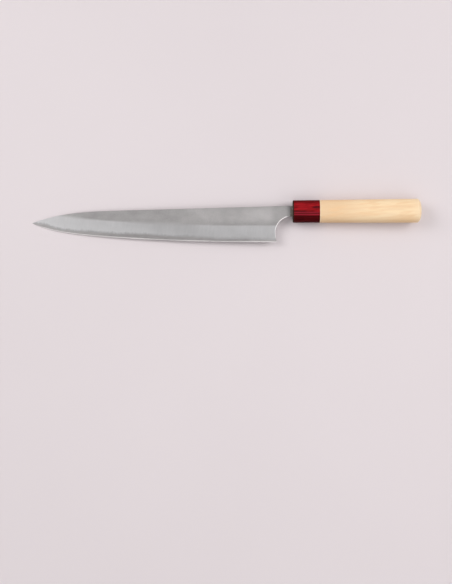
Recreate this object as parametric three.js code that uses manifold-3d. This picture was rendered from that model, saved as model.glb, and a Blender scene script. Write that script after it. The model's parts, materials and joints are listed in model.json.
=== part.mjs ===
// A sujihiki: the long, narrow, double-bevelled slicing knife of the Japanese kitchen.
// The blade is a three-layer laminate, a hard core between two soft stainless claddings, and all three
// layers run back as a tang through a laminated-wood ferrule into a blind slot in an oval magnolia handle.
//
// Each piece is drawn in the knife's own frame, in millimetres: the origin is the middle of the ferrule's
// front face, X runs along the handle to the butt, Y to the spine and Z out of the blade's left face.
// The finished knife is then laid on its right side, as on a table: +Z up, on its point and its ferrule.

import * as THREE from "three";
import { mergeVertices } from "three/addons/utils/BufferGeometryUtils.js";
import Module from "manifold-3d";

const wasm = await Module();
wasm.setup();

// Blade outline: heel and tip of the edge, and the neck that ends at the machi, the shoulder of the tang
const HEEL = new THREE.Vector2(-18.1, -33.4);
const TIP = new THREE.Vector2(-288.1, -11.1);
const MACHI_X = -2.6;
const NECK_TOP = 6.2;
const NECK_BOTTOM = -5.75;

// Spine: straight, falling a little towards the tip, then dropping to it by a power curve
const SPINE_FALL = 0.021;
const POINT_START_X = -199;
const POINT_POWER = 2.7;

// Edge: an even belly that rises by this much from heel to tip, and a late sweep up into the tip
const EDGE_BELLY = 13.7;
const SWEEP_POWER = 12;

// Choil, the hollow behind the heel: its deepest place, how far it falls below that, and a power, 1 for an ellipse
const CHOIL_DEPTH = 16.5;
const CHOIL_WAIST_Y = -23.6;
const CHOIL_FALL = 28.5;
const CHOIL_ROUND = 1.04;

// Grind: flat faces that taper to the tip and to the edge, then a slightly convex bevel and a fine edge bevel
const SPINE_THICKNESS = 3;
const DISTAL_TAPER = 0.0033;
const FACE_TAPER = 0.011;
const BEVEL_WIDTH = 18;
const BEVEL_BELLY = 0.3;
const EDGE_BEVEL = 0.7;
const EDGE_HALF = 0.1;
const SPINE_CHAMFER = 0.35;

// Laminate: where the core shows along the edge, and the closed weld line between the layers
const CORE_SHOWS = 4;
const CORE_SHARE_AT_TIP = 0.45;
const WELD_GAP = 0.02;
const CLADDING_START_X = TIP.x + 4;

// Tang, from the machi to its end inside the handle; at the machi its middle lies a little over the handle's axis
const TANG_END_X = 104;
const TANG_LIFT = 0.25;
const TANG_HEIGHT = 11.5;
const TANG_END_HEIGHT = 6.4;
const TANG_THICKNESS = 2.8;
const TANG_END_THICKNESS = 2.2;
const TANG_POINT = 4;
const TANG_ROOT = 5;

// Handle: an oval that swells to the butt, ferrule first, with a domed end
const HANDLE_LENGTH = 140.1;
const FERRULE_LENGTH = 29.3;
const FRONT_HEIGHT = 24.5;
const FRONT_WIDTH = 18.8;
const BUTT_HEIGHT = 26.1;
const BUTT_WIDTH = 20.2;
const OVAL_POWER = 2.25;
const OVAL_SIDES = 48;
const BUTT_DOME = 4.8;
const DOME_POWER = 2.4;
const BUTT_FLAT_SHARE = 0.35;
const FRONT_ROUND = 0.8;
const SEAM_CHAMFER = 0.2;

// Joinery inside the handle: the tenon and its socket, the tang's slot, and the glue, bedding and seal in them
const TENON_WALL = 3.6;
const TENON_FRONT_X = 8;
const GLUE_ROOM = 0.4;
const SLOT_ROOM = 1;
const MOUTH_DEPTH = 7.4;
const SEAL_RECESS = 0.8;
const FIT_GAP = 0.1;

// Shared shape helpers

const middle = (ring) => ring.reduce((sum, p) => sum.add(p), new THREE.Vector3()).divideScalar(ring.length);

// A closed body through rings of equally many points, listed towards +X, each running from +Y to +Z.
function loft(rings) {
  const size = rings[0].length;
  const points = [...rings.flat(), middle(rings[0]), middle(rings.at(-1))];
  const lastRing = (rings.length - 1) * size;
  const frontMiddle = rings.length * size;
  const backMiddle = frontMiddle + 1;
  const index = [];
  for (let k = 0; k < size; k++) {
    const next = (k + 1) % size;
    for (let r = 0; r < lastRing; r += size) {
      index.push(r + k, r + next, r + size + k, r + next, r + size + next, r + size + k);
    }
    index.push(frontMiddle, next, k, backMiddle, lastRing + k, lastRing + next);
  }
  return new THREE.BufferGeometry().setFromPoints(points).setIndex(index);
}

// A geometry as a solid that can be joined and cut.
function solid(geometry) {
  const bare = geometry.clone();
  bare.deleteAttribute("normal");
  bare.deleteAttribute("uv");
  const merged = mergeVertices(bare);
  const vertProperties = merged.attributes.position.array;
  const triVerts = new Uint32Array(merged.index.array);
  return new wasm.Manifold(new wasm.Mesh({ numProp: 3, vertProperties, triVerts }));
}

function geometryOf(body) {
  const { vertProperties, triVerts } = body.getMesh();
  const geometry = new THREE.BufferGeometry();
  geometry.setAttribute("position", new THREE.BufferAttribute(vertProperties, 3));
  return geometry.setIndex(new THREE.BufferAttribute(triVerts, 1));
}

function piece(name, body, colour, roughness, metalness) {
  const material = new THREE.MeshStandardMaterial({ color: colour, roughness, metalness });
  const mesh = new THREE.Mesh(geometryOf(body), material);
  mesh.name = name;
  return mesh;
}

// Blade outline, as heights over the handle's axis at a place along it

function spineY(x) {
  const straight = (at) => NECK_TOP - SPINE_FALL * (MACHI_X - at);
  const drop = straight(TIP.x) - TIP.y;
  const along = Math.max(0, POINT_START_X - x) / (POINT_START_X - TIP.x);
  return straight(x) - drop * along ** POINT_POWER;
}

function edgeY(x) {
  const along = Math.max(0, HEEL.x - x) / (HEEL.x - TIP.x);
  const sweep = TIP.y - HEEL.y - EDGE_BELLY;
  return HEEL.y + EDGE_BELLY * along ** 2 + sweep * along ** SWEEP_POWER;
}

// The choil's curve by angle: 0 at its waist, a right angle at the neck, negative towards the heel.
function choilPoint(angle) {
  const rise = angle > 0 ? NECK_BOTTOM - CHOIL_WAIST_Y : CHOIL_FALL;
  const x = MACHI_X - CHOIL_DEPTH * Math.cos(angle) ** CHOIL_ROUND;
  return new THREE.Vector2(x, CHOIL_WAIST_Y + rise * Math.sin(angle));
}

// Half the blade's thickness: on the flat of the face, and at a height over the edge on the bevel
const faceHalf = (x, y) => SPINE_THICKNESS / 2 + DISTAL_TAPER * (x - HEEL.x) + FACE_TAPER * (y - NECK_TOP);

function bevelHalf(x, height) {
  const ridge = faceHalf(x, edgeY(x) + BEVEL_WIDTH);
  const share = height / BEVEL_WIDTH;
  return EDGE_HALF + (ridge - EDGE_HALF) * share * (1 + BEVEL_BELLY * (1 - share));
}

const bladeHeight = (x) => spineY(x) - edgeY(x);
const coreLine = (x) => Math.min(CORE_SHOWS, CORE_SHARE_AT_TIP * bladeHeight(x));
const coreHalf = (x) => bevelHalf(x, coreLine(x));

function halfThickness(x, height) {
  return height < BEVEL_WIDTH ? bevelHalf(x, height) : faceHalf(x, edgeY(x) + height);
}

// Places along the blade, closer together towards the tip.
function bladeStations(start) {
  const count = 34;
  const crowding = 1.5;
  return Array.from({ length: count + 1 }, (_, i) => start + (MACHI_X - start) * (i / count) ** crowding);
}

// Cross-section of the left cladding: up the weld at the spine, round the outside, down to the core line.
function claddingRing(x) {
  const [top, height, low] = [spineY(x), bladeHeight(x), coreLine(x)];
  const inside = coreHalf(x) + WELD_GAP;
  const outside = halfThickness(x, height);
  const chamfer = Math.min(SPINE_CHAMFER, (outside - inside) / 3);
  const ridge = height > BEVEL_WIDTH + SPINE_CHAMFER ? BEVEL_WIDTH : low + (height - low) * 0.8;
  const bevelHeights = [1, 0.72, 0.45, 0.2].map((share) => low + (ridge - low) * share);
  const section = [
    [top, inside],
    [top, outside - chamfer],
    [top - chamfer, halfThickness(x, height - chamfer)],
    ...bevelHeights.map((h) => [edgeY(x) + h, halfThickness(x, h)]),
    [edgeY(x) + low, inside],
  ];
  return section.map(([y, z]) => new THREE.Vector3(x, y, z));
}

// Cross-section of the core: a slab down to where the bevels reach it, then tapered to the edge.
function coreRing(x) {
  const half = coreHalf(x);
  const shoulder = Math.min(EDGE_BEVEL, coreLine(x) / 2);
  const left = [
    [spineY(x), half],
    [edgeY(x) + coreLine(x), half],
    [edgeY(x) + shoulder, bevelHalf(x, shoulder)],
  ];
  const right = left.map(([y, z]) => [y, -z]).reverse();
  return [...left, [edgeY(x), 0], ...right].map(([y, z]) => new THREE.Vector3(x, y, z));
}

// The same piece on the blade's right side.
const mirrored = (rings) => rings.map((ring) => ring.map((p) => new THREE.Vector3(p.x, p.y, -p.z)).reverse());

// Everything behind the choil's curve and below the neck, cut from each layer.
function choilCutter() {
  const depth = 2 * SPINE_THICKNESS;
  const steps = 28;
  const below = -0.48;
  const curve = Array.from({ length: steps + 1 }, (_, i) => choilPoint(below + ((Math.PI / 2 - below) * i) / steps));
  const behind = MACHI_X + TANG_ROOT;
  const outline = new THREE.Shape([
    ...curve,
    new THREE.Vector2(behind, NECK_BOTTOM),
    new THREE.Vector2(behind, curve[0].y),
  ]);
  const block = new THREE.ExtrudeGeometry(outline, { depth, bevelEnabled: false });
  return solid(block.translate(0, 0, -depth / 2));
}

// Tang sizes at a place along it
const tangShare = (x) => THREE.MathUtils.clamp((x - MACHI_X) / (TANG_END_X - MACHI_X), 0, 1);
const tangHalfHeight = (x) => THREE.MathUtils.lerp(TANG_HEIGHT, TANG_END_HEIGHT, tangShare(x)) / 2;
const tangHalf = (x) => THREE.MathUtils.lerp(TANG_THICKNESS, TANG_END_THICKNESS, tangShare(x)) / 2;

const tangMiddle = (x) => TANG_LIFT * (1 - tangShare(x));

// A ring of four corners round the tang's middle.
const rectangle = (x, halfHeight, low, high) =>
  [
    [halfHeight, low],
    [halfHeight, high],
    [-halfHeight, high],
    [-halfHeight, low],
  ].map(([y, z]) => new THREE.Vector3(x, tangMiddle(x) + y, z));

// The tang's rings between two depths from the mid-plane, rooted inside the neck and narrowed at the end.
function tangRings(low, high) {
  const shoulder = TANG_END_X - TANG_POINT;
  const stations = [MACHI_X - TANG_ROOT, MACHI_X, shoulder];
  const rings = stations.map((x) => rectangle(x, tangHalfHeight(x), low, high(x)));
  return [...rings, rectangle(TANG_END_X, tangHalfHeight(TANG_END_X) / 2, low, high(TANG_END_X))];
}

// One layer of the blade: its loft with the choil cut out, and its share of the tang.
const layer = (bladeRings, tang) => solid(loft(bladeRings)).subtract(choilCutter()).add(solid(loft(tang)));

function blade() {
  const weld = coreHalf(MACHI_X);
  const cladding = bladeStations(CLADDING_START_X).map(claddingRing);
  const claddingTang = tangRings(weld + 2 * WELD_GAP, tangHalf);
  const core = bladeStations(TIP.x + WELD_GAP).map(coreRing);
  const coreTang = tangRings(WELD_GAP - weld, () => weld - WELD_GAP);
  const group = new THREE.Group();
  group.add(
    piece("core_steel", layer(core, coreTang), 0x8f8d8a, 0.3, 1),
    piece("left_cladding", layer(cladding, claddingTang), 0xb4b4b2, 0.4, 1),
    piece("right_cladding", layer(mirrored(cladding), mirrored(claddingTang)), 0xb4b4b2, 0.4, 1),
  );
  return group;
}

// Handle sections: half height and half width of the outside at a place along the handle, less an inset
function ovalRing(x, inset = 0, scale = 1) {
  const share = x / HANDLE_LENGTH;
  const halfHeight = (THREE.MathUtils.lerp(FRONT_HEIGHT, BUTT_HEIGHT, share) / 2 - inset) * scale;
  const halfWidth = (THREE.MathUtils.lerp(FRONT_WIDTH, BUTT_WIDTH, share) / 2 - inset) * scale;
  const rounded = (v) => Math.sign(v) * Math.abs(v) ** (2 / OVAL_POWER);
  return Array.from({ length: OVAL_SIDES }, (_, k) => {
    const angle = (2 * Math.PI * k) / OVAL_SIDES;
    const [y, z] = [Math.cos(angle), Math.sin(angle)].map((v) => (Math.abs(v) < 1e-9 ? 0 : rounded(v)));
    return new THREE.Vector3(x, halfHeight * y, halfWidth * z);
  });
}

// A straight-sided body inside the handle, inset from its outside.
const ovalPlug = (start, end, inset) => solid(loft([ovalRing(start, inset), ovalRing(end, inset)]));

// The tang's own form grown on every side by some room, between two places along the handle.
function slotPlug(start, end, room) {
  const ring = (x) => rectangle(x, tangHalfHeight(x) + room, -tangHalf(x) - room, tangHalf(x) + room);
  return solid(loft([ring(start), ring(end)]));
}

const BUTT_RIM_X = HANDLE_LENGTH - BUTT_DOME;
const domeX = (share) => BUTT_RIM_X + BUTT_DOME * Math.sqrt(1 - share ** DOME_POWER);
const SLOT_END_X = TANG_END_X + SLOT_ROOM;
const SOCKET_INSET = TENON_WALL - GLUE_ROOM;

function ferrule() {
  const outside = loft([
    ovalRing(0, FRONT_ROUND),
    ovalRing(FRONT_ROUND * 0.3, FRONT_ROUND * 0.3),
    ovalRing(FRONT_ROUND),
    ovalRing(FERRULE_LENGTH - SEAM_CHAMFER),
    ovalRing(FERRULE_LENGTH, SEAM_CHAMFER),
  ]);
  const socket = ovalPlug(MOUTH_DEPTH, FERRULE_LENGTH + 1, SOCKET_INSET);
  const mouth = slotPlug(-1, MOUTH_DEPTH + 1, SLOT_ROOM);
  return piece("ferrule", solid(outside).subtract(socket).subtract(mouth), 0x8c1d22, 0.25, 0);
}

function handleBody() {
  const front = FERRULE_LENGTH + FIT_GAP;
  const domeShares = [1, 0.975, 0.92, 0.82, 0.65, BUTT_FLAT_SHARE];
  const outside = loft([
    ovalRing(front, SEAM_CHAMFER),
    ovalRing(front + SEAM_CHAMFER),
    ...domeShares.map((share) => ovalRing(domeX(share), 0, share)),
  ]);
  const tenon = ovalPlug(TENON_FRONT_X, front + 1, TENON_WALL);
  const slot = slotPlug(TENON_FRONT_X - 1, SLOT_END_X, SLOT_ROOM);
  return piece("handle_body", solid(outside).add(tenon).subtract(slot), 0xf2d2a6, 0.6, 0);
}

// The glue sleeve that holds the ferrule on the tenon.
function tenonGlue() {
  const [start, end] = [TENON_FRONT_X + FIT_GAP, FERRULE_LENGTH - FIT_GAP];
  const outside = ovalPlug(start, end, SOCKET_INSET + FIT_GAP);
  const inside = ovalPlug(start - 1, end + 1, TENON_WALL - FIT_GAP);
  return piece("tenon_glue", outside.subtract(inside), 0xc9b27a, 0.4, 0);
}

// The resin that beds the tang in the handle's slot, closed behind the tang's end.
function tangBedding() {
  const outside = slotPlug(TENON_FRONT_X + FIT_GAP, SLOT_END_X - FIT_GAP, SLOT_ROOM - FIT_GAP);
  const inside = slotPlug(0, TANG_END_X + FIT_GAP, FIT_GAP);
  return piece("tang_bedding", outside.subtract(inside), 0x6b4a2c, 0.5, 0);
}

// The wax plug round the tang in the ferrule's mouth, set a little below its front face.
function mouthSeal() {
  const outside = slotPlug(SEAL_RECESS, MOUTH_DEPTH, SLOT_ROOM - FIT_GAP);
  const inside = slotPlug(0, MOUTH_DEPTH + 1, FIT_GAP);
  return piece("mouth_seal", outside.subtract(inside), 0x2a1712, 0.5, 0);
}

// The whole knife, laid down so that the tip and the ferrule's front rim touch the table at z 0, with the
// middle of its length and width over the origin.
function layDown(knife) {
  const rim = new THREE.Vector2(FRONT_ROUND, -FRONT_WIDTH / 2);
  knife.rotation.y = Math.atan2(rim.y, rim.x - TIP.x);
  const box = new THREE.Box3().setFromObject(knife, true);
  const centre = box.getCenter(new THREE.Vector3());
  knife.position.set(-centre.x, -centre.y, -box.min.z);
  return knife;
}

const knife = new THREE.Group();
knife.add(blade(), ferrule(), handleBody(), tenonGlue(), tangBedding(), mouthSeal());

const sujihiki = new THREE.Group();
sujihiki.add(layDown(knife));

export default sujihiki;
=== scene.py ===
"""The looks of a sujihiki, a long slicing knife that lies on its right side on a pale table.

Shapes are worked out in the knife's own frame, in millimetres: the origin is the middle of the ferrule's
front face, x runs along the handle to the butt, y to the spine and z out of the blade's left face.
"""

import json

import bpy
import numpy as np
from mathutils import Matrix, Vector


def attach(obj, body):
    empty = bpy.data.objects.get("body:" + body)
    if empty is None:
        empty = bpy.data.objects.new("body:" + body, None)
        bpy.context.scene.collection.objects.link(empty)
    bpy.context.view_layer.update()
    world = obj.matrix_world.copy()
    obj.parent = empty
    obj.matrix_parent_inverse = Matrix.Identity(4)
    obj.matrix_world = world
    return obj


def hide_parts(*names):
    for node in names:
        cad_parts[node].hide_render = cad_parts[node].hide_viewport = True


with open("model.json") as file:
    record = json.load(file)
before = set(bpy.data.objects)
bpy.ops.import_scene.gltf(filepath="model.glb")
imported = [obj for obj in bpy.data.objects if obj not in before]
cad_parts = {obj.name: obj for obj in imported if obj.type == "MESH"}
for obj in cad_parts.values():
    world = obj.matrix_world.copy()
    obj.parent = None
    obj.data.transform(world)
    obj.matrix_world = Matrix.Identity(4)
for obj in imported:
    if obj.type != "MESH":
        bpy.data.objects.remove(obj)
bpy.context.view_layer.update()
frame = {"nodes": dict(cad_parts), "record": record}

MM = 0.001

# Blade outline: heel, tip, the neck down to the machi, the spine's fall, the edge's belly and the choil
HEEL_X, HEEL_Y = -18.1, -33.4
TIP_X, TIP_Y = -288.1, -11.1
MACHI_X = -2.6
NECK_TOP, NECK_BOTTOM = 6.2, -5.75
SPINE_FALL = 0.021
POINT_START_X = -199
POINT_POWER = 2.7
EDGE_BELLY = 13.7
SWEEP_POWER = 12
CHOIL_DEPTH = 16.5
CHOIL_WAIST_Y = -23.6
CHOIL_FALL = 28.5
CHOIL_ROUND = 1.04

# Grind of the faces, the bevels and the edge, and the polished roundings along spine and choil
SPINE_THICKNESS = 3
DISTAL_TAPER = 0.0033
FACE_TAPER = 0.011
BEVEL_WIDTH = 18
BEVEL_BELLY = 0.3
RIDGE_SOFTNESS = 0.03
EDGE_BEVEL = 0.7
EDGE_HALF = 0.1
POINT_THINNING = 3
SPINE_ROUND = 0.2
CHOIL_POLISH = 1.1
POLISH_DEPTH = 0.6
POLISHED_SHARE = 0.98
ROUNDED_SHARE = 0.7

# Laminate: the core's wandering upper limit over the edge, the weld between the layers, and where the core
# and the claddings start behind the tip
CORE_SHOWS = 2.7
CORE_SWELL, CORE_SWELL_X, CORE_SWELL_LENGTH = 1.9, -160, 75
CORE_HOOK, CORE_HOOK_X, CORE_HOOK_LENGTH = 1.6, -276, 7
CORE_WAVE, CORE_WAVES = 0.34, 4
CORE_WAVE_LENGTH, CORE_WAVE_CROWDING = 57, 1.4
CORE_SHARE_AT_TIP, CORE_TIP_BLEND = 0.5, 4
WELD_GAP = 0.02
CORE_START, CLADDING_START = 0.02, 0.4

# Tang: a taper to a narrowed end, with its outer corners cut off
TANG_END_X = 104
TANG_LIFT = 0.25
TANG_HEIGHT, TANG_END_HEIGHT = 11.5, 6.4
TANG_THICKNESS, TANG_END_THICKNESS = 2.8, 2.2
TANG_POINT, TANG_POINT_SHARE = 4, 0.5
TANG_ROOT = 0.6
TANG_CORNER, CORE_CORNER = 0.3, 0.02

# Handle: an oval that grows to the butt and ends in a dome, with its rounded corners
HANDLE_LENGTH = 140.1
FERRULE_LENGTH = 29.3
FRONT_HEIGHT, BUTT_HEIGHT = 24.5, 26.1
FRONT_WIDTH, BUTT_WIDTH = 18.8, 20.2
OVAL_POWER = 2.25
OVAL_SIDES = 192
BUTT_DOME = 4.8
DOME_POWER = 2.4
BUTT_FLAT_SHARE = 0.35
FRONT_ROUND = 0.8
COLLAR_ROUND = 0.12
SEAM_ROUND = 0.45

# Joinery inside the handle
TENON_WALL = 3.6
TENON_FRONT_X = 8
SOCKET_INSET = 3.2
SLOT_ROOM = 1
SLOT_POWER, SEAL_POWER, BORE_POWER = 9, 14, 40
MOUTH_DEPTH = 7.4
MOUTH_ROUND = 0.3
SEAL_RECESS = 0.8
SEAL_SAG = 0.35
FIT_GAP = 0.1

# The knife's own frame in the row frame, from the mount in the middle of the butt
BUTT_RIM_X = HANDLE_LENGTH - BUTT_DOME
BUTT_FLAT_X = BUTT_RIM_X + BUTT_DOME * np.sqrt(1 - BUTT_FLAT_SHARE**DOME_POWER)
butt = next(mount for mount in frame["record"]["mounts"] if mount["name"] == "butt_flat")
ALONG = np.array(butt["axis"])
ACROSS = np.array([0.0, 1.0, 0.0])
OUT = np.cross(ALONG, ACROSS)
ORIGIN = np.array(butt["pos_m"]) - BUTT_FLAT_X * MM * ALONG
LIE = -np.arctan2(ALONG[2], ALONG[0])

# The photo's view: the lens, what it looks at and from how far, in millimetres, and its tilt and roll
SENSOR = 36
LENS = 56.21
CAMERA_TARGET = (0.48, -77.86, 8)
CAMERA_DISTANCE = 1000
CAMERA_TILT = np.radians(1.5)
CAMERA_ROLL = 0.0031


def placed(points):
    """Points of the knife's own frame, in millimetres, as points of the row frame, in metres."""
    return ORIGIN + MM * (points @ np.stack([ALONG, ACROSS, OUT]))


# Blade outline and thickness

def spine_y(x):
    """A straight line that falls to the tip, less a power of the distance past the point's start."""
    fallen = lambda at: NECK_TOP - SPINE_FALL * (MACHI_X - at)
    past = np.maximum(0, POINT_START_X - x) / (POINT_START_X - TIP_X)
    return fallen(x) - (fallen(TIP_X) - TIP_Y) * past**POINT_POWER


def edge_y(x):
    """The heel's height plus the square and a high power of the share of the way to the tip."""
    share = np.maximum(0, HEEL_X - x) / (HEEL_X - TIP_X)
    sweep = TIP_Y - HEEL_Y - EDGE_BELLY
    return HEEL_Y + EDGE_BELLY * share**2 + sweep * share**SWEEP_POWER


def face_half(x, y):
    """Half thickness on the flats: a plane that thins to the tip and to the edge."""
    return SPINE_THICKNESS / 2 + DISTAL_TAPER * (x - HEEL_X) + FACE_TAPER * (y - NECK_TOP)


def bevel_half(x, rise):
    """Half thickness on the bevels: a shallow parabola of the height over the edge that meets the flat. What
    is left at the edge thins to nothing over the last stretch to the tip."""
    ridge = face_half(x, edge_y(x) + BEVEL_WIDTH)
    share = rise / BEVEL_WIDTH
    edge = EDGE_HALF * np.clip((x - TIP_X) / POINT_THINNING, 0, 1)
    return edge + (ridge - edge) * share * (1 + BEVEL_BELLY * (1 - share))


def half_thickness(x, rise):
    """The thinner of flat and bevel, with the ridge between them rounded over by a quadratic blend."""
    face = face_half(x, edge_y(x) + rise)
    bevel = bevel_half(x, rise)
    near = np.maximum(0, 1 - np.abs(face - bevel) / RIDGE_SOFTNESS)
    return np.minimum(face, bevel) - RIDGE_SOFTNESS / 4 * near**2


def core_line(x):
    """Height of the core's upper limit over the edge: two swells, one of them a hook behind the tip, and four
    shortening waves, kept to a share of the blade's height at the tip."""
    line = CORE_SHOWS + CORE_SWELL * np.exp(-(((x - CORE_SWELL_X) / CORE_SWELL_LENGTH) ** 2))
    line = line + CORE_HOOK * np.exp(-(((x - CORE_HOOK_X) / CORE_HOOK_LENGTH) ** 2))
    for n in range(1, CORE_WAVES + 1):
        turn = 2 * np.pi * x * n**CORE_WAVE_CROWDING / CORE_WAVE_LENGTH + n * n
        line = line + CORE_WAVE / n * np.sin(turn)
    at_tip = CORE_SHARE_AT_TIP * (spine_y(x) - edge_y(x))
    return (line**-CORE_TIP_BLEND + at_tip**-CORE_TIP_BLEND) ** (-1 / CORE_TIP_BLEND)


def core_half(x):
    """Half thickness of the core: that of the whole blade where the core comes out."""
    return half_thickness(x, core_line(x))


def choil_curve(angle):
    """Choil by angle, from a right angle at the neck through 0 at the waist: nearly an ellipse."""
    rise = np.where(angle > 0, NECK_BOTTOM - CHOIL_WAIST_Y, CHOIL_FALL)
    x = MACHI_X - CHOIL_DEPTH * np.cos(angle) ** CHOIL_ROUND
    return np.stack([x, CHOIL_WAIST_Y + rise * np.sin(angle)], -1)


def choil_angle(y):
    """Angle of the choil's lower part at a height."""
    return np.arcsin((y - CHOIL_WAIST_Y) / CHOIL_FALL)


# Meshes

def loop_faces(rings, size, closed=False):
    """Quads between neighbouring rings of points, each closed on itself. If closed, the last ring joins the
    first."""
    ring, place = np.meshgrid(np.arange(rings if closed else rings - 1), np.arange(size), indexing="ij")
    here, onward = ring * size, (ring + 1) % rings * size
    beside = (place + 1) % size
    corners = [here + place, here + beside, onward + beside, onward + place]
    return np.stack(corners, -1).reshape(-1, 4).tolist()


def slab(upper, lower):
    """Closed skin of a plate from two grids of points, by column and row, that share their last row."""
    rings = np.concatenate([upper, lower[:, -2::-1]], axis=1)
    columns, size = rings.shape[:2]
    row = np.arange(upper.shape[1] - 2)
    back = size - 1 - row
    end = np.stack([row, row + 1, back - 1, back], -1)
    tip_of_end = [row[-1] + 1, row[-1] + 2, back[-1] - 1]
    last = (columns - 1) * size
    faces = loop_faces(columns, size) + (end + last).tolist() + end[:, ::-1].tolist()
    faces += [[k + last for k in tip_of_end], tip_of_end[::-1]]
    return rings.reshape(-1, 3), faces


def capped(rings):
    """Closed skin through rings of points, with a fan from the middle of the first and of the last ring."""
    count, size = rings.shape[:2]
    points = np.concatenate([rings.reshape(-1, 3), rings[[0, -1]].mean(axis=1)])
    k = np.arange(size)
    beside = (k + 1) % size
    last = (count - 1) * size
    front = np.stack([np.full(size, count * size), beside, k], -1)
    back = np.stack([np.full(size, count * size + 1), last + k, last + beside], -1)
    return points, loop_faces(count, size) + front.tolist() + back.tolist()


def joined(*skins):
    """Several closed skins as one list of points and one of faces."""
    points = np.concatenate([skin[0] for skin in skins])
    faces, start = [], 0
    for skin in skins:
        faces += [[k + start for k in face] for face in skin[1]]
        start += len(skin[0])
    return points, faces


def mirrored(skin):
    """The same skin on the blade's right side, with its faces turned back outwards."""
    return skin[0] * (1, 1, -1), [face[::-1] for face in skin[1]]


SHARP_ANGLE = np.radians(32)


def make_piece(name, skin, node, slot, finishes, finish_of_face=None, **fields):
    """A mesh object that stands for a solid. Fields are values at its points, for its finish to read."""
    points, faces = skin
    mesh = bpy.data.meshes.new(name)
    mesh.from_pydata(placed(points).tolist(), [], faces)
    for label, values in fields.items():
        mesh.attributes.new(label, "FLOAT", "POINT").data.foreach_set("value", values.astype(np.float32))
    for finish in finishes:
        mesh.materials.append(finish)
    if finish_of_face is not None:
        mesh.polygons.foreach_set("material_index", finish_of_face.astype(np.int32))
    mesh.polygons.foreach_set("use_smooth", np.ones(len(faces), dtype=bool))
    mesh.set_sharp_from_angle(angle=SHARP_ANGLE)
    mesh.validate()
    piece = bpy.data.objects.new(name, mesh)
    bpy.context.scene.collection.objects.link(piece)
    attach(piece, "root")
    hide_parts(node)
    return piece


# Blade layers

COLUMNS = 340
TIP_CROWDING = 1.35
NECK_ROWS = 16
CHOIL_ROWS = 48
BAND_ROWS = 7
ROUND_STEPS = 6
LEAST_REACH = 1e-6
HEEL_ANGLE = choil_angle(HEEL_Y)
CORE_ANGLE = choil_angle(HEEL_Y + core_line(HEEL_X))
QUARTER = np.linspace(0, np.pi / 2, ROUND_STEPS + 1)


def column_shares():
    """Shares of the way from the tip to the back of the blade, closer together at the tip."""
    return np.linspace(0, 1, COLUMNS) ** TIP_CROWDING


def core_y(x):
    """Height of the core's upper limit."""
    return edge_y(x) + core_line(x)


def down_share(x, y):
    """Share of the way down from the spine to the core's upper limit."""
    return (spine_y(x) - y) / (spine_y(x) - core_y(x))


def cladding_back():
    """The cladding's back from spine to core: points, and the ways in from them to where the rounding starts,
    with the rounding's reach and depth. It is small down the neck and wide, and polished, along the choil."""
    top = NECK_TOP - SPINE_ROUND * (1 - np.sin(QUARTER[::-1]))
    neck = np.linspace(top[-1], NECK_BOTTOM + CHOIL_POLISH, NECK_ROWS + 1)[1:-1]
    neck = np.concatenate([top, neck])
    choil = choil_curve(np.linspace(np.pi / 2, CORE_ANGLE, CHOIL_ROWS))
    run = np.gradient(choil, axis=0)
    inward = np.stack([run[:, 1], -run[:, 0]], -1) / np.linalg.norm(run, axis=1, keepdims=True)
    back = np.concatenate([np.stack([np.full(len(neck), MACHI_X), neck], -1), choil])
    x, y = back.T
    thickness = half_thickness(x, y - edge_y(x)) - core_half(x)
    on_choil = np.arange(len(back)) >= len(neck)
    depth = np.clip(ROUNDED_SHARE * thickness, 0, np.where(on_choil, POLISH_DEPTH, SPINE_ROUND))
    reach = depth * np.where(on_choil, CHOIL_POLISH / POLISH_DEPTH, 1)
    ways = np.concatenate([np.tile((-1.0, 0.0), (len(neck), 1)), inward]) * reach[:, None]
    ways[len(neck)] += (-SPINE_ROUND, 0)
    return back, ways, reach, depth, on_choil


def rounding_drop(reach, depth, distance):
    """How far a quarter of an ellipse, of this reach and depth, lies below the face at a distance from its
    side."""
    inward = np.clip(1 - distance / np.maximum(reach, LEAST_REACH), 0, 1)
    return depth * (1 - np.sqrt(1 - inward**2))


def cladding_skin():
    """Left cladding: rows at fixed shares between spine and core line, columns from the tip to the back, then
    a quarter round over the back's corner. The lower grid is the weld. It closes at the core line, and never
    takes more than half of a thin cladding."""
    back, ways, reach, depth, on_choil = cladding_back()
    ends = back + ways
    share = down_share(ends[:, 0], ends[:, 1])
    start = TIP_X + CLADDING_START
    x = start + (ends[:, 0] - start) * column_shares()[:, None]
    y = spine_y(x) + share * (core_y(x) - spine_y(x))
    round_out = np.sin(QUARTER[1:])[:, None]
    x = np.concatenate([x, ends[:, 0] - ways[:, 0] * round_out])
    y = np.concatenate([y, ends[:, 1] - ways[:, 1] * round_out])
    from_back = np.concatenate([np.tile(reach, (COLUMNS, 1)), reach * (1 - round_out)])
    from_spine = np.maximum(0, spine_y(x) - y)
    spine_radius = SPINE_ROUND * (spine_y(x) - core_y(x)) / (NECK_TOP - core_y(MACHI_X))
    drop = rounding_drop(spine_radius, spine_radius, from_spine) + rounding_drop(reach, depth, from_back)
    rise = y - edge_y(x)
    upper = half_thickness(x, rise) - drop
    weld = core_half(x) + WELD_GAP * (1 - share)
    lower = np.minimum(np.minimum(weld, upper), (core_half(x) + upper) / 2)
    upper[:, -1] = core_half(x[:, -1])
    skin = slab(np.stack([x, y, upper], -1), np.stack([x, y, lower], -1))
    polished = ((from_back < reach * POLISHED_SHARE) & on_choil).astype(float)
    both = np.concatenate([polished, polished[:, -2::-1]], axis=1)
    return skin, both.reshape(-1)


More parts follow.
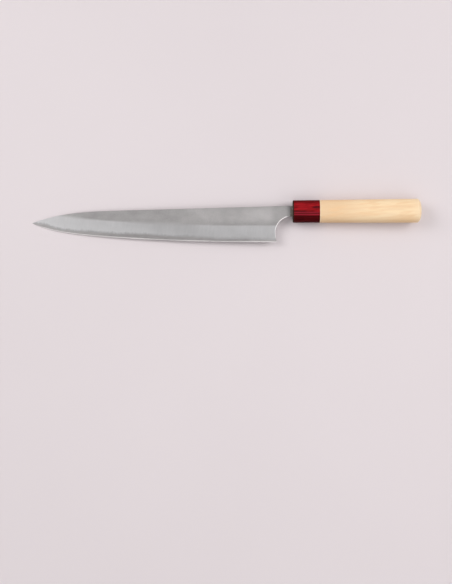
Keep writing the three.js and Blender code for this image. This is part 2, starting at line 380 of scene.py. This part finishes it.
def core_skin():
    """Core: a slab as thick as the core from the spine to the core line, then the bevels down to the edge
    bevel, which closes at the edge. The lower grid mirrors the upper."""
    back = cladding_back()[0]
    band = choil_curve(np.linspace(CORE_ANGLE, HEEL_ANGLE, BAND_ROWS))[1:]
    ends = np.concatenate([back, band])
    slab_rows = len(back)
    start = TIP_X + CORE_START
    x = start + (ends[:, 0] - start) * column_shares()[:, None]
    x_slab, x_band = x[:, :slab_rows], x[:, slab_rows:-1]
    share = down_share(back[:, 0], back[:, 1])
    y_slab = spine_y(x_slab) + share * (core_y(x_slab) - spine_y(x_slab))
    low = np.linspace(0, 1, BAND_ROWS)[1:-1]
    shoulder = np.minimum(EDGE_BEVEL, core_line(x_band) / 2)
    rise = core_line(x_band) + (shoulder - core_line(x_band)) * low / low[-1]
    y_edge = edge_y(x[:, -1:])
    y = np.concatenate([y_slab, edge_y(x_band) + rise, y_edge], axis=1)
    z = np.concatenate([core_half(x_slab), half_thickness(x_band, rise), 0 * y_edge], axis=1)
    return slab(np.stack([x, y, z], -1), np.stack([x, y, -z], -1))


def tang_half_height(x):
    """Half the tang's height, a straight taper."""
    return np.interp(x, [MACHI_X, TANG_END_X], [TANG_HEIGHT / 2, TANG_END_HEIGHT / 2])


def tang_middle(x):
    """Height of the tang's middle over the handle's axis, which it meets at the tang's end."""
    return np.interp(x, [MACHI_X, TANG_END_X], [TANG_LIFT, 0])


def tang_half(x):
    """Half the tang's thickness, a straight taper."""
    return np.interp(x, [MACHI_X, TANG_END_X], [TANG_THICKNESS / 2, TANG_END_THICKNESS / 2])


def tang_skin(low, high, corner):
    """A tapered bar between two depths, with its two outer long corners cut off and its end narrowed."""
    x = np.array([MACHI_X - TANG_ROOT, MACHI_X, TANG_END_X - TANG_POINT, TANG_END_X])
    tall = tang_half_height(x) * (1, 1, 1, TANG_POINT_SHARE)
    top = high(x)
    ring_y = np.stack([tall, tall, tall - corner, corner - tall, -tall, -tall], -1) + tang_middle(x)[:, None]
    ring_z = np.stack([0 * x + low, top - corner, top, top, top - corner, 0 * x + low], -1)
    return capped(np.stack([np.broadcast_to(x[:, None], ring_y.shape), ring_y, ring_z], -1))


def blade_fields(points):
    """Heights over the edge and over the core line, which the blade's finishes read."""
    x, y = points[:, 0], points[:, 1]
    rise = y - edge_y(x)
    return {"rise": rise, "over_core": rise - core_line(np.minimum(x, HEEL_X))}


def add_blade(satin, core_finish, scale):
    """The two claddings and the core, each with its layer of the tang under forge scale."""
    weld = core_half(MACHI_X)
    blade, polish = cladding_skin()
    tang = tang_skin(weld + WELD_GAP, tang_half, TANG_CORNER)
    left = joined(blade, tang)
    finish_of_face = np.repeat([0, 1], [len(blade[1]), len(tang[1])])
    fields = {**blade_fields(left[0]), "polish": np.concatenate([polish, np.zeros(len(tang[0]))])}
    for side, skin in (("left", left), ("right", mirrored(left))):
        node = side + "_cladding"
        make_piece("blade_" + node, skin, node, "cladding_steel", [satin, scale], finish_of_face, **fields)
    core = core_skin()
    core_tang = tang_skin(WELD_GAP - weld, lambda x: 0 * x + weld - WELD_GAP, CORE_CORNER)
    skin = joined(core, core_tang)
    finish_of_face = np.repeat([0, 1], [len(core[1]), len(core_tang[1])])
    make_piece("blade_core", skin, "core_steel", "core_steel", [core_finish, scale], finish_of_face,
               **blade_fields(skin[0]))


# Handle, ferrule and seal: rings of a superellipse

COLLAR_RINGS, GRIP_RINGS, DOME_RINGS = 30, 70, 24
FRONT_RINGS, BUTT_RINGS, WAX_RINGS = 4, 3, 9


def oval_rings(x, half_height, half_width, power):
    """One ring for each x: its points are cosine and sine of an angle, each raised to two over the power."""
    angle = np.linspace(0, 2 * np.pi, OVAL_SIDES, endpoint=False)
    values = np.broadcast_arrays(x, half_height, half_width, power)
    x, half_height, half_width, power = (value[:, None] for value in values)
    rounded = lambda v: np.sign(v) * np.abs(v) ** (2 / power)
    y = half_height * rounded(np.cos(angle))
    z = half_width * rounded(np.sin(angle))
    return np.stack([np.broadcast_to(x, y.shape), y, z], -1)


def outside(x, inset=0.0, scale=1.0):
    """Rings of the handle's outside, drawn in by an inset or scaled towards its axis."""
    x, inset, scale = np.broadcast_arrays(np.asarray(x, float), inset, scale)
    share = x / HANDLE_LENGTH
    half_height = (FRONT_HEIGHT + (BUTT_HEIGHT - FRONT_HEIGHT) * share) / 2 - inset
    half_width = (FRONT_WIDTH + (BUTT_WIDTH - FRONT_WIDTH) * share) / 2 - inset
    return oval_rings(x, half_height * scale, half_width * scale, OVAL_POWER)


def slot(x, room, power=SLOT_POWER):
    """Rings of the tang's form grown by some room: a superellipse, squarer the higher its power."""
    x, room = np.broadcast_arrays(np.asarray(x, float), room)
    rings = oval_rings(x, tang_half_height(x) + room, tang_half(x) + room, power)
    rings[:, :, 1] += tang_middle(x)[:, None]
    return rings


def rings_between(first, last, steps):
    """Rings that go straight from one ring to another, both left out."""
    share = np.linspace(0, 1, steps + 2)[1:-1, None, None]
    return first[-1:] * (1 - share) + last[:1] * share


def ferrule_skin():
    """Rings round the whole collar: the outside to the back, the socket and the mouth, and out over the
    front."""
    side = outside(np.linspace(FRONT_ROUND, FERRULE_LENGTH - COLLAR_ROUND, COLLAR_RINGS))
    seam = FERRULE_LENGTH - COLLAR_ROUND * (1 - np.sin(QUARTER[1:]))
    seam = outside(seam, COLLAR_ROUND * (1 - np.cos(QUARTER[1:])))
    socket = outside(np.array([FERRULE_LENGTH, MOUTH_DEPTH]), SOCKET_INSET)
    mouth = slot(np.array([MOUTH_DEPTH, MOUTH_ROUND]), SLOT_ROOM)
    lip_room = SLOT_ROOM + MOUTH_ROUND * (1 - np.cos(QUARTER[1:]))
    lip = slot(MOUTH_ROUND * (1 - np.sin(QUARTER[1:])), lip_room)
    front = outside(FRONT_ROUND * (1 - np.cos(QUARTER[:-1])), FRONT_ROUND * (1 - np.sin(QUARTER[:-1])))
    face = rings_between(lip, front, FRONT_RINGS)
    rings = np.concatenate([side, seam, socket, mouth, lip, face, front])
    return rings.reshape(-1, 3), loop_faces(len(rings), OVAL_SIDES, closed=True)


def handle_skin():
    """Rings from the bottom of the tang's slot out over the tenon and the shoulder, along the grip and over
    the dome of the butt, whose height is the root of one less a power of its share of the width."""
    front = FERRULE_LENGTH + FIT_GAP
    bore = slot(np.array([TANG_END_X + SLOT_ROOM, TENON_FRONT_X]), SLOT_ROOM, BORE_POWER)
    tenon = outside(np.array([TENON_FRONT_X, front]), TENON_WALL)
    seam = outside(front + SEAM_ROUND * (1 - np.cos(QUARTER)), SEAM_ROUND * (1 - np.sin(QUARTER)))
    side = outside(np.linspace(front + SEAM_ROUND, BUTT_RIM_X, GRIP_RINGS)[1:])
    flat_angle = np.arccos(BUTT_FLAT_SHARE ** (DOME_POWER / 2))
    turn = np.linspace(0, flat_angle, DOME_RINGS)[1:]
    dome = outside(BUTT_RIM_X + BUTT_DOME * np.sin(turn), 0.0, np.cos(turn) ** (2 / DOME_POWER))
    middle = rings_between(dome, dome[-1:] * (1, 0, 0), BUTT_RINGS)
    return capped(np.concatenate([bore, tenon, seam, side, dome, middle]))


def seal_skin():
    """Rings round the plug of wax: its outside, its back, the tang's side and a front that sags in the
    middle."""
    depths = np.array([SEAL_RECESS, MOUTH_DEPTH])
    outer = slot(depths, SLOT_ROOM - FIT_GAP)
    inner = slot(depths[::-1], FIT_GAP, SEAL_POWER)
    face = rings_between(inner, outer, WAX_RINGS)
    share = np.linspace(0, 1, WAX_RINGS + 2)[1:-1]
    face[:, :, 0] += (SEAL_SAG * 4 * share * (1 - share))[:, None]
    rings = np.concatenate([outer, inner, face])
    return rings.reshape(-1, 3), loop_faces(len(rings), OVAL_SIDES, closed=True)


# Finishes

# Numbered sockets of a colour mix
MIX_FIRST, MIX_SECOND, MIX_COLOUR = 6, 7, 2


class Number:
    """A value socket of a finish. Arithmetic on it adds Math nodes."""

    def __init__(self, finish, socket):
        self.finish = finish
        self.socket = socket

    def math(self, operation, *operands):
        return self.finish.number("ShaderNodeMath", {"operation": operation}, dict(enumerate(operands)))

    def __add__(self, other):
        return self.math("ADD", self, other)

    def __sub__(self, other):
        return self.math("SUBTRACT", self, other)

    def __rsub__(self, other):
        return self.math("SUBTRACT", other, self)

    def __mul__(self, other):
        return self.math("MULTIPLY", self, other)

    def __truediv__(self, other):
        return self.math("DIVIDE", self, other)

    def __pow__(self, other):
        return self.math("POWER", self, other)

    __radd__ = __add__
    __rmul__ = __mul__

    def apart(self, other):
        """The distance between two numbers."""
        return self.math("ABSOLUTE", self - other)

    def between(self, low, high):
        """A smooth step from 0 at low to 1 at high, which may be the lower of the two."""
        settings = {"interpolation_type": "SMOOTHSTEP"}
        sockets = {"Value": self, "From Min": low, "From Max": high}
        return self.finish.number("ShaderNodeMapRange", settings, sockets)

    def within(self, start, full, waning, end):
        """A smooth rise from start to full and a smooth fall from waning to end."""
        return self.between(start, full) * self.between(end, waning)

    def toward(self, other, share):
        """A number some share of the way to another."""
        return self + (other - self) * share


class Finish:
    """A procedural material on a Principled shader."""

    def __init__(self, name, **fixed):
        self.material = bpy.data.materials.new(name)
        self.material.use_nodes = True
        self.tree = self.material.node_tree
        self.tree.nodes.clear()
        fixed = {label.replace("_", " "): value for label, value in fixed.items()}
        self.shader = self.node("ShaderNodeBsdfPrincipled", {}, fixed)
        self.node("ShaderNodeOutputMaterial", {}, {"Surface": self.shader.outputs[0]})
        coordinates = self.node("ShaderNodeTexCoord", {}, {}).outputs["Object"]
        self.place = self.turned(coordinates, (MM, MM, MM), (0, LIE, 0), tuple(ORIGIN))

    def node(self, kind, settings, sockets):
        """Adds a node: its settings first, then the values or links of its sockets."""
        node = self.tree.nodes.new(kind)
        for name, value in settings.items():
            setattr(node, name, value)
        for key, value in sockets.items():
            self.join(value, node.inputs[key])
        return node

    def join(self, value, socket):
        """Links a value to a socket, or sets the socket to it."""
        value = value.socket if isinstance(value, Number) else value
        if isinstance(value, bpy.types.NodeSocket):
            self.tree.links.new(value, socket)
        else:
            socket.default_value = value

    def number(self, kind, settings, sockets):
        return Number(self, self.node(kind, settings, sockets).outputs[0])

    def turned(self, vector, size, turn=(0, 0, 0), centre=(0, 0, 0)):
        """A vector measured from a centre along turned axes, in units of a size along each."""
        sockets = {"Vector": vector, "Location": centre, "Rotation": turn, "Scale": size}
        return self.node("ShaderNodeMapping", {"vector_type": "TEXTURE"}, sockets).outputs[0]

    def noise(self, along, across, detail=2.0, slant=0.0):
        """Cloudy values from 0 to 1, with features this long and this wide, in millimetres, turned about z by
        a slant."""
        vector = self.turned(self.place, (along, across, across), (0, 0, slant))
        return self.number("ShaderNodeTexNoise", {}, {"Vector": vector, "Scale": 1.0, "Detail": detail})

    def axes(self):
        """The place in the knife's own frame as three numbers, in millimetres."""
        split = self.node("ShaderNodeSeparateXYZ", {}, {0: self.place})
        return [Number(self, socket) for socket in split.outputs]

    def field(self, name):
        """A value stored at the piece's points."""
        node = self.node("ShaderNodeAttribute", {"attribute_name": name}, {})
        return Number(self, node.outputs["Fac"])

    def mix(self, factor, first, second):
        """A colour between two others."""
        sockets = {0: factor, MIX_FIRST: self.opaque(first), MIX_SECOND: self.opaque(second)}
        return self.node("ShaderNodeMix", {"data_type": "RGBA"}, sockets).outputs[MIX_COLOUR]

    @staticmethod
    def opaque(colour):
        return (*colour, 1.0) if isinstance(colour, tuple) and len(colour) == 3 else colour

    def bump(self, height, depth):
        """Relief of this depth, in millimetres, from a height of 0 to 1."""
        sockets = {"Height": height, "Distance": depth * MM, "Strength": 1.0}
        return self.node("ShaderNodeBump", {}, sockets).outputs[0]

    def cover(self, colour, roughness, normal, **more):
        """Joins what changes over the surface to the shader."""
        sockets = {"Base Color": colour, "Roughness": roughness, "Normal": normal, **more}
        for name, value in sockets.items():
            self.join(value, self.shader.inputs[name])
        return self.material


# Steel: the tints of its zones, and their tones from black at 0 to the tint at 1
BLACK = (0, 0, 0)
FLAT_TINT = (1.0, 0.96, 0.953)
BEVEL_TINT = (1.0, 0.983, 0.99)
CORE_TINT = (1.0, 0.95, 0.943)
FLAT_TONE, BEVEL_TONE, HAZE_TONE, CORE_TONE = 0.385, 0.512, 0.39, 0.36
# Painted highlights: the choil's polished rim, brightest below the neck, and the sharpened edge bevel
RIM_HIGHLIGHT_TONE, RIM_HIGHLIGHT_AT_NECK = 0.74, 0.92
EDGE_HIGHLIGHT_TONE = 0.44

# Height of the bright edge line, how far it fades, and the slant of the grinding marks
EDGE_POLISH, EDGE_FADE = 1.0, 0.15
GRIND_SLANT = -0.15


def flat_share(finish, x, rise):
    """1 on the flats and 0 on the bevels. The limit wanders, and blurs along the middle and near the tip."""
    wander = (finish.noise(30, 30, 3.0) - 0.5) * 1.4
    middle = x.within(-190, -160, -130, -100)
    tip = x.between(-210, -240)
    blur = 1.2 + middle * 2.2 + tip * 1.2
    return ((rise + wander - BEVEL_WIDTH) / blur).between(-1, 1)


def flat_tone_and_reflection(x, rise):
    """Tone of the flats, with painted reflection: paler on the heel's half, most of all between ridge and
    spine, but for a dip, and darker towards the neck with painted shade."""
    # painted reflection: the flats pale behind the tip and on the heel's half
    behind_tip = x.between(-200, -150)
    heel_half = x.between(-130, -105)
    crown = rise.within(BEVEL_WIDTH, 27, 31, 43)
    peak = x.between(-60, -38)
    dip = x.within(-84, -72, -62, -54)
    # painted shade: the flats darken over the last stretch to the neck
    neck = x.between(-26, -17)
    heel_reflection = 0.02 + crown * (0.07 + peak * 0.055) - dip * 0.02
    return (FLAT_TONE + behind_tip * 0.014 + heel_half * heel_reflection) * (1 - neck * 0.13)


def bevel_tone_and_reflection(x, rise):
    """Tone of the ground bevels, with painted reflection: brightest at the tip. On the heel's half they pale
    towards the ridge, and on the tip's half they darken a little."""
    # painted reflection: brighter bevels towards the tip, paler towards the ridge on the heel's half
    tip, point = x.between(-100, -205), x.between(-215, -240)
    heel_half, tip_half = x.between(-112, -98), x.between(-115, -150)
    to_ridge = rise.between(3, BEVEL_WIDTH)
    up_bevel = rise.between(5, 15)
    tone = BEVEL_TONE + tip * 0.12 - point * 0.008
    return tone + heel_half * (to_ridge * 0.085 - 0.008) + tip_half * (0.012 - up_bevel * 0.03)


def satin_cladding():
    """Soft stainless steel: matt flats over ground bevels, with haze in teeth over the core, a polished rim
    along the choil with a painted highlight, brightest below the neck, and painted shade that darkens the
    neck to the machi."""
    finish = Finish("satin_cladding", Metallic=1.0)
    rise, over_core, polish = (finish.field(name) for name in ("rise", "over_core", "polish"))
    x, y, _ = finish.axes()
    grit = finish.noise(0.7, 0.7, 3.0)
    cloud = finish.noise(14, 8, 3.0)
    grinding = finish.noise(0.14, 5, 2.0, GRIND_SLANT)
    streaks = finish.noise(2.2, 16, 3.0, GRIND_SLANT)
    flat = flat_share(finish, x, rise)
    matt = flat_tone_and_reflection(x, rise) + (cloud - 0.5) * 0.16 + (grit - 0.5) * 0.24
    ground = bevel_tone_and_reflection(x, rise) + (cloud + streaks - 1) * 0.08 + (grinding - 0.5) * 0.06
    teeth = finish.noise(1.5, 7, 3.0) + finish.noise(3, 2, 3.0) - 1
    haze = (over_core + teeth * 3.0).between(3.2, -0.4)
    # painted shade: the steel darkens over the last stretch to the machi, beside the ferrule
    machi = x.between(-8.5, -3)
    # painted highlight: the polished rim along the choil, brightest below the neck
    rim = RIM_HIGHLIGHT_TONE + y.between(-21.5, -17) * (RIM_HIGHLIGHT_AT_NECK - RIM_HIGHLIGHT_TONE)
    tone = ground.toward(matt, flat).toward(HAZE_TONE, haze * 0.9) * (1 - machi * 0.2)
    tone = tone.toward(rim, polish * x.between(-4, -8))
    roughness = (0.34 + grinding * 0.1).toward(0.42 + grit * 0.12, flat).toward(0.45, polish)
    relief = (grinding * (1 - flat) * 0.5 + grit * flat) * (1 - polish)
    tint = finish.mix(flat, BEVEL_TINT, FLAT_TINT)
    return finish.cover(finish.mix(tone, BLACK, tint), roughness, finish.bump(relief, 0.006))


def core_steel():
    """Hard core steel: dull and dark where it comes out under the cladding, paler to the tip and the heel by
    painted reflection, and bright on the sharpened edge bevel with a painted highlight, strongest on the
    tip's half."""
    finish = Finish("core_steel", Metallic=1.0)
    rise, over_core = finish.field("rise"), finish.field("over_core")
    x = finish.axes()[0]
    cloud = finish.noise(8, 2.2, 3.0)
    grinding = finish.noise(0.14, 5, 2.0, GRIND_SLANT)
    edge = rise.between(EDGE_POLISH + EDGE_FADE, EDGE_POLISH - EDGE_FADE)
    upper = over_core.between(-1.6, 0.2)
    heel, dull = x.between(-70, -22), x.within(-100, -85, -58, -42)
    tone = CORE_TONE + (cloud - 0.5) * 0.16 + (grinding - 0.5) * 0.05 + upper * 0.03
    # painted reflection: the core pales to the heel and the tip and dims in the middle
    tone = tone + heel * 0.02 + x.between(-195, -225) * 0.045 - dull * 0.03
    # painted highlight: the sharpened edge bevel is painted bright, most on the tip's half, fading at the
    # point
    middle, tip_half = x.between(-90, -108), x.between(-140, -180)
    tip, point = x.between(-195, -240), x.between(-272, -286)
    edge_highlight = EDGE_HIGHLIGHT_TONE + middle * 0.08 + tip_half * 0.31 + tip * 0.12 - point * 0.46 - dull * 0.04
    tone = tone.toward(edge_highlight, edge)
    roughness = (0.36 + grinding * 0.12).toward(0.32, edge)
    relief = grinding * (1 - edge)
    return finish.cover(finish.mix(tone, BLACK, CORE_TINT), roughness, finish.bump(relief, 0.004))


SCALE = {"dark": (0.075, 0.062, 0.05), "pale": (0.3, 0.262, 0.225), "worn": (0.34, 0.31, 0.29)}


def forge_scale():
    """The tang's skin: dark brown oxide in flakes over dull steel."""
    finish = Finish("forge_scale")
    flakes = finish.noise(0.9, 0.7, 4.0)
    blotch = finish.noise(2.6, 2.2)
    tone = finish.mix(flakes, SCALE["dark"], SCALE["pale"])
    tone = finish.mix(blotch.between(0.52, 0.7), tone, SCALE["worn"])
    roughness = 0.42 + flakes * 0.25
    return finish.cover(tone, roughness, finish.bump(flakes, 0.05), Metallic=0.5 + blotch * 0.4)


# Ferrule: heights of its thin veneers, where they fade out from their middles, a knot and the colours
MIDDLE_VENEER, MIDDLE_VENEER_FADE = -0.75, (1.2, 0.3)
THIN_VENEERS = ((-3.1, "thin"), (-2.05, "pink"), (-4.4, "pink"))
THIN_VENEER_FADE = (0.8, 0.2)
KNOT_X, KNOT_Y = 25.6, 3.5
KNOT_LENGTH, KNOT_HEIGHT = 5.6, 2.0
RED = {
    "dark": (0.012, 0.0006, 0.001),
    "bright": (0.38, 0.012, 0.017),
    "middle": (0.05, 0.006, 0.007),
    "thin": (0.07, 0.008, 0.009),
    "pink": (0.25, 0.016, 0.032),
    "knot": (0.04, 0.005, 0.008),
    "end_grain_shade": (0.035, 0.018, 0.012),
}


def red_laminate():
    """Resin-filled veneers stacked from edge to spine, with fibres along the handle: bright reds above the
    middle, thin dark and pink ones at the middle and dark ones below it. The middle one fades towards the
    seam, and a dark knot lies above its end. The end grain of the front is darker, and painted nearly
    black as shade."""
    finish = Finish("red_laminate", Specular_IOR_Level=0.03)
    x, y, _ = finish.axes()
    across = y + (finish.noise(60, 14, 1.0) - 0.5) * 0.8
    fibres = finish.noise(14, 0.5, 4.0)
    streaks = finish.noise(12, 1.2, 3.0, 0.06).between(0.36, 0.62)
    upper, top = across.between(-5.9, -4.6), across.between(7.8, 9.8)
    bright = (0.16 + upper * 0.74 - top * 0.48) * (0.32 + streaks * 0.55 + fibres * 0.4)
    tone = finish.mix(bright, RED["dark"], RED["bright"])
    middle = across.apart(MIDDLE_VENEER).between(*MIDDLE_VENEER_FADE)
    tone = finish.mix(middle * (0.9 - x.between(11, 19) * 0.65), tone, RED["middle"])
    for height, colour in THIN_VENEERS:
        tone = finish.mix(across.apart(height).between(*THIN_VENEER_FADE) * 0.85, tone, RED[colour])
    knot = ((x - KNOT_X) / KNOT_LENGTH) ** 2.0 + ((y - KNOT_Y) / KNOT_HEIGHT) ** 2.0
    tone = finish.mix(knot.between(1, 0.1) * 0.75, tone, RED["knot"])
    # painted shade: the front's end grain nearly black
    tone = finish.mix(x.between(1.4, 0.8), tone, RED["end_grain_shade"])
    roughness = 0.38 + fibres * 0.12
    return finish.cover(tone, roughness, finish.bump(fibres, 0.012))


# Wood: the slant of its grain, the pith of its growth rings, their width, and the colours
GRAIN_SLANT = 0.1
PITH_Y, PITH_Z = -70, 42
RING_WIDTH = 4.6
WOOD = {
    "front": (0.842, 0.595, 0.37),
    "butt": (0.952, 0.728, 0.474),
    "patch": (0.88, 0.58, 0.33),
    "band": (0.86, 0.575, 0.335),
    "ring": (0.78, 0.52, 0.32),
    # painted shade colour for the edge's side
    "shade": (0.6, 0.39, 0.21),
    "fibre": (0.97, 0.76, 0.51),
    "pore": (0.6, 0.38, 0.2),
    # painted highlight colour for the front corner and the butt's dome
    "end_highlight": (0.98, 0.79, 0.56),
}


def pale_wood():
    """Magnolia: growth rings round a pith outside the handle, a little slanted to it, with patches, fine
    fibres and pores. It is darkest at the front, and dark along the edge's side with painted shade over a
    darker band of the wood; it is palest at the front corner and the butt's dome, with painted highlights."""
    finish = Finish("pale_wood", Specular_IOR_Level=0.05)
    x, y, z = finish.axes()
    warp = (finish.noise(60, 9) - 0.5) * 5
    radius = ((y - PITH_Y) ** 2.0 + (z - PITH_Z) ** 2.0) ** 0.5 + x * GRAIN_SLANT + warp
    turn = radius * (2 * np.pi / RING_WIDTH)
    rings = turn.math("SINE", turn) * 0.5 + 0.5
    bands = finish.noise(80, 4.5, 2.0, GRAIN_SLANT)
    patches = finish.noise(26, 5, 2.0, GRAIN_SLANT)
    fibres = finish.noise(9, 0.22, 3.0, GRAIN_SLANT / 2)
    pores = finish.noise(2.2, 0.13, 2.0, GRAIN_SLANT / 2).between(0.66, 0.78)
    # painted shade along the edge's side, over a darker band of the wood
    low, lowest = y.between(-3, -12), y.between(-9.5, -12)
    # painted highlights: paler bands over the front corner and the butt's dome
    corner = x.between(FERRULE_LENGTH + 1.2, FERRULE_LENGTH + 0.4)
    butt_dome_highlight = x.between(BUTT_RIM_X - 8, HANDLE_LENGTH)
    tone = finish.mix(x.between(42, 88), WOOD["front"], WOOD["butt"])
    layers = {
        "patch": patches.between(0.46, 0.64) * 0.6,
        "band": bands.between(0.42, 0.66) * 0.5,
        "ring": rings**4.0 * 0.16,
        "shade": low * 0.3 + lowest * 0.14,
        "fibre": fibres.between(0.35, 0.75) * 0.25,
        "pore": pores * 0.3,
        "end_highlight": (corner + butt_dome_highlight * 0.5) * 0.8,
    }
    for colour, share in layers.items():
        tone = finish.mix(share, tone, WOOD[colour])
    roughness = 0.55 + fibres * 0.12
    relief = fibres * 0.6 - pores * 0.5 + rings * 0.2
    return finish.cover(tone, roughness, finish.bump(relief, 0.012))


# Dark and pale colours of the wax, near black as painted shade in the mouth, the hidden glue and resin, and
# the table
WAX_AND_SHADE_COLOURS = (0.022, 0.011, 0.008), (0.07, 0.04, 0.03)
GLUE_COLOURS = (0.5, 0.37, 0.15), (0.62, 0.49, 0.24)
RESIN_COLOURS = (0.1, 0.045, 0.016), (0.2, 0.1, 0.04)
TABLE_COLOURS = (0.725, 0.655, 0.67), (0.76, 0.69, 0.705)


def sealing_wax():
    """Dark wax, softly dimpled, with a paler bloom. Its near-black colour also stands in for the shade in the
    mouth round the tang.
    """
    finish = Finish("sealing_wax")
    dimples = finish.noise(0.8, 0.8)
    bloom = finish.noise(2.4, 2.4, 3.0)
    tone = finish.mix(bloom.between(0.4, 0.8), *WAX_AND_SHADE_COLOURS)
    return finish.cover(tone, 0.38 + bloom * 0.2, finish.bump(dimples, 0.06))


def cured(name, colours):
    """Hidden glue or resin: cloudy, with small bubbles."""
    finish = Finish(name)
    cloud = finish.noise(6, 3, 3.0)
    bubbles = finish.noise(0.5, 0.5, 1.0).between(0.62, 0.74)
    tone = finish.mix(cloud, *colours)
    return finish.cover(tone, 0.35 + cloud * 0.2, finish.bump(bubbles, 0.05))


def table_top():
    """Plain pale paint, almost even."""
    finish = Finish("table_top")
    cloud = finish.noise(240, 240)
    tone = finish.mix(cloud, *TABLE_COLOURS)
    return finish.cover(tone, 0.6 + cloud * 0.1, finish.bump(cloud, 0.02))


def dress_hidden_nodes():
    """Finishes for the solids that stay as they are inside the handle."""
    finishes = {
        "tenon_glue": cured("glue", GLUE_COLOURS),
        "tang_bedding": cured("bedding_resin", RESIN_COLOURS),
    }
    for name, finish in finishes.items():
        node = frame["nodes"][name]
        node.data.materials.clear()
        node.data.materials.append(finish)


# Stage

FLOOR_HALF = 3

# Lamps: where each stands, its size and its power. The first is the key, beyond the spine
LAMPS = {
    "left": ((-1.35, 0.55, 1.25), 1.1, 15.1),
    "right": ((1.3, 0.4, 1.3), 1.0, 12.6),
    "front": ((0.0, -0.5, 1.3), 0.5, 2.1),
    "heel": ((0.9, -0.9, 1.1), 0.7, 2.4),
}
SKY_LOW, SKY_HIGH = (0.39, 0.39, 0.395), (0.43, 0.43, 0.435)


def add_floor():
    mesh = bpy.data.meshes.new("floor")
    corners = [(-FLOOR_HALF, -FLOOR_HALF, 0), (FLOOR_HALF, -FLOOR_HALF, 0),
               (FLOOR_HALF, FLOOR_HALF, 0), (-FLOOR_HALF, FLOOR_HALF, 0)]
    mesh.from_pydata(corners, [], [(0, 1, 2, 3)])
    mesh.materials.append(table_top())
    floor = bpy.data.objects.new("floor", mesh)
    bpy.context.scene.collection.objects.link(floor)


def facing(position, target, roll=0.0, up=(0, 1, 0)):
    """A matrix at a position that looks down its own -Z to a target, with up on its own Y, then rolled."""
    back = (Vector(position) - Vector(target)).normalized()
    right = Vector(up).cross(back).normalized()
    turn = Matrix((right, back.cross(right), back)).transposed().to_4x4()
    return Matrix.Translation(position) @ turn @ Matrix.Rotation(roll, 4, "Z")


def add_light():
    """Soft lamps round the table, under an even sky."""
    for name, (position, size, power) in LAMPS.items():
        lamp = bpy.data.lights.new(name, "AREA")
        lamp.size = size
        lamp.energy = power
        holder = bpy.data.objects.new(name, lamp)
        holder.matrix_world = facing(position, (0, 0, 0), up=(0, 0, 1))
        bpy.context.scene.collection.objects.link(holder)
    world = bpy.data.worlds.new("studio")
    world.use_nodes = True
    tree = world.node_tree
    direction = tree.nodes.new("ShaderNodeTexCoord").outputs["Generated"]
    split = tree.nodes.new("ShaderNodeSeparateXYZ")
    blend = tree.nodes.new("ShaderNodeMix")
    blend.data_type = "RGBA"
    blend.inputs[MIX_FIRST].default_value = (*SKY_LOW, 1)
    blend.inputs[MIX_SECOND].default_value = (*SKY_HIGH, 1)
    tree.links.new(direction, split.inputs[0])
    tree.links.new(split.outputs["Z"], blend.inputs[0])
    tree.links.new(blend.outputs[MIX_COLOUR], tree.nodes["Background"].inputs["Color"])
    bpy.context.scene.world = world


def add_camera():
    """The photo's view: almost straight down, the knife's length across the picture."""
    data = bpy.data.cameras.new("camera")
    data.sensor_width = SENSOR
    data.lens = LENS
    camera = bpy.data.objects.new("camera", data)
    target = Vector(CAMERA_TARGET) * MM
    reach = Vector((0, -np.sin(CAMERA_TILT), np.cos(CAMERA_TILT))) * CAMERA_DISTANCE * MM
    camera.matrix_world = facing(target + reach, target, -CAMERA_ROLL)
    bpy.context.scene.collection.objects.link(camera)
    bpy.context.scene.camera = camera


add_camera()
add_floor()
add_light()
add_blade(satin_cladding(), core_steel(), forge_scale())
make_piece("handle_collar", ferrule_skin(), "ferrule", "red_laminate", [red_laminate()])
make_piece("handle_grip", handle_skin(), "handle_body", "pale_wood", [pale_wood()])
make_piece("mouth_wax", seal_skin(), "mouth_seal", "sealing_wax", [sealing_wax()])
dress_hidden_nodes()
bpy.context.scene.view_settings.view_transform = "Standard"
